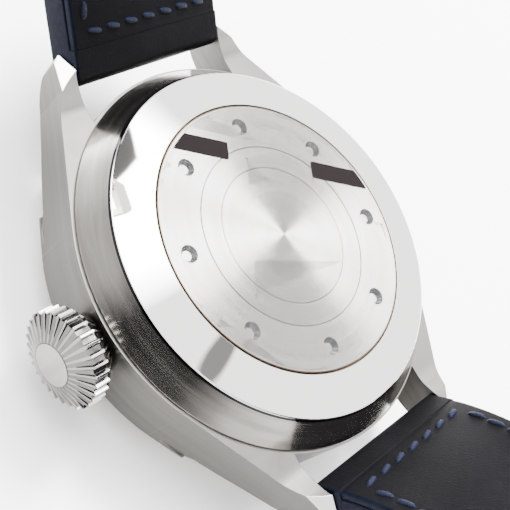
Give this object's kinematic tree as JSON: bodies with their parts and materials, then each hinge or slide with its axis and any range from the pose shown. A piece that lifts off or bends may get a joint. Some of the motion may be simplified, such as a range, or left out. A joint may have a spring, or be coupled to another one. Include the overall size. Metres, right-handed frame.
{
  "type": "wristwatch",
  "caption": "Pilot's wristwatch lying on its crystal: steel case with a screw back, large fluted crown, movement with hands, and a padded leather strap with a pin buckle, open.",
  "frame": {"origin": "middle of the crystal's outer face, on which the watch rests", "axes": "+Z out of the case back, +Y to 12 o'clock, -X to the crown at 3 o'clock"},
  "size_m": [0.0513, 0.1052, 0.1135],
  "materials": {
    "satin_steel": "satin brushed",
    "polished_steel": "mirror polished",
    "spring_steel": "satin",
    "sapphire": "clear",
    "clear_film": "clear",
    "black_rubber": "matte",
    "dial_black": "matte",
    "luminous_white": "matte",
    "hand_steel": "satin",
    "gilt_brass": "satin",
    "plated_brass": "grained",
    "holder_steel": "satin",
    "soft_iron": "satin",
    "black_leather": "semi-matte calf",
    "lining_leather": "fine grain"
  },
  "bodies": {
    "case": {"mid_case": "satin_steel", "bezel": "satin_steel", "crystal": "sapphire", "crystal_gasket": "black_rubber", "dial_flange": "dial_black", "dial": "dial_black", "hour_track": "luminous_white", "movement_plate": "plated_brass", "train_bridge": "plated_brass", "movement_ring": "holder_steel", "soft_iron_cover": "soft_iron", "case_back_ring": "satin_steel", "case_back": "satin_steel", "back_gasket": "black_rubber", "protective_film": "clear_film", "crown_tube": "spring_steel", "spring_bar_12": "spring_steel", "spring_bar_6": "spring_steel"},
    "seconds_work": {"seconds_hand": "hand_steel", "fourth_wheel": "gilt_brass"},
    "minute_work": {"minute_hand": "hand_steel", "centre_wheel": "gilt_brass"},
    "hour_work": {"hour_hand": "hand_steel", "hour_wheel": "gilt_brass"},
    "third_work": {"third_wheel": "gilt_brass"},
    "barrel_work": {"barrel": "gilt_brass"},
    "escape_work": {"escape_wheel": "spring_steel"},
    "fork_work": {"pallet_fork": "spring_steel"},
    "balance_work": {"balance_wheel": "gilt_brass"},
    "rotor_work": {"rotor": "plated_brass"},
    "keyless_work": {"winding_pinion": "spring_steel", "clutch_wheel": "spring_steel"},
    "crown_work": {"crown": "polished_steel", "crown_medallion": "polished_steel", "crown_gasket": "black_rubber", "stem": "spring_steel"},
    "buckle_half": {"strap_12": "black_leather", "strap_12_lining": "lining_leather", "fixed_keeper": "black_leather"},
    "hole_half": {"strap_6": "black_leather", "strap_6_lining": "lining_leather"},
    "buckle": {"buckle_frame": "polished_steel", "buckle_bar": "polished_steel"},
    "tongue": {"buckle_tongue": "polished_steel"},
    "loop": {"free_keeper": "black_leather"}
  },
  "joints": [
    {"name": "seconds_turn", "type": "hinge", "parent": "case", "child": "seconds_work", "pos_m": [0, 0, 0.0025], "axis": [0, 0, 1], "continuous": true},
    {"name": "minute_turn", "type": "hinge", "parent": "case", "child": "minute_work", "pos_m": [0, 0, 0.0031], "axis": [0, 0, 1], "continuous": true},
    {"name": "hour_turn", "type": "hinge", "parent": "case", "child": "hour_work", "pos_m": [0, 0, 0.0037], "axis": [0, 0, 1], "continuous": true},
    {"name": "third_wheel_turn", "type": "hinge", "parent": "case", "child": "third_work", "pos_m": [0.00337, 0.00585, 0.0086], "axis": [0, 0, 1], "continuous": true},
    {"name": "barrel_turn", "type": "hinge", "parent": "case", "child": "barrel_work", "pos_m": [-0.00398, -0.00688, 0.0071], "axis": [0, 0, 1], "continuous": true},
    {"name": "escape_turn", "type": "hinge", "parent": "case", "child": "escape_work", "pos_m": [0.00513, -0.00431, 0.0076], "axis": [0, 0, 1], "continuous": true},
    {"name": "fork_swing", "type": "hinge", "parent": "case", "child": "fork_work", "pos_m": [0.00783, -0.00622, 0.0079], "axis": [0, 0, 1], "range_deg": [-5, 5]},
    {"name": "balance_swing", "type": "hinge", "parent": "case", "child": "balance_work", "pos_m": [0.01086, -0.00818, 0.0083], "axis": [0, 0, 1], "range_deg": [-150, 150]},
    {"name": "rotor_turn", "type": "hinge", "parent": "case", "child": "rotor_work", "pos_m": [0, 0, 0.011], "axis": [0, 0, 1], "continuous": true},
    {"name": "crown_turn", "type": "hinge", "parent": "case", "child": "keyless_work", "pos_m": [-0.0166, 0, 0.00765], "axis": [-1, 0, 0], "continuous": true},
    {"name": "crown_pull", "type": "slide", "parent": "keyless_work", "child": "crown_work", "axis": [-1, 0, 0], "range_m": [0, 0.002]},
    {"name": "strap_12_fold", "type": "hinge", "parent": "case", "child": "buckle_half", "pos_m": [0, 0.027, 0.0106], "axis": [1, 0, 0], "range_deg": [-20, 8]},
    {"name": "strap_6_fold", "type": "hinge", "parent": "case", "child": "hole_half", "pos_m": [0, -0.027, 0.0106], "axis": [-1, 0, 0], "range_deg": [-20, 5]},
    {"name": "buckle_swing", "type": "hinge", "parent": "buckle_half", "child": "buckle", "pos_m": [0, 0.04099, 0.07761], "axis": [1, 0, 0], "range_deg": [-60, 60]},
    {"name": "tongue_swing", "type": "hinge", "parent": "buckle", "child": "tongue", "pos_m": [0, 0.04099, 0.07761], "axis": [-1, 0, 0], "range_deg": [0, 80]},
    {"name": "keeper_slide", "type": "slide", "parent": "buckle_half", "child": "loop", "axis": [0, -0.2588, 0.9659], "range_m": [-0.004, 0.004]}
  ],
  "couplings": [
    {"joint": "seconds_turn", "follows": "escape_turn", "ratio": -0.064},
    {"joint": "minute_turn", "follows": "escape_turn", "ratio": -0.0010667},
    {"joint": "hour_turn", "follows": "escape_turn", "ratio": -0.000088889},
    {"joint": "third_wheel_turn", "follows": "escape_turn", "ratio": 0.008555},
    {"joint": "barrel_turn", "follows": "escape_turn", "ratio": 0.0001458}
  ]
}
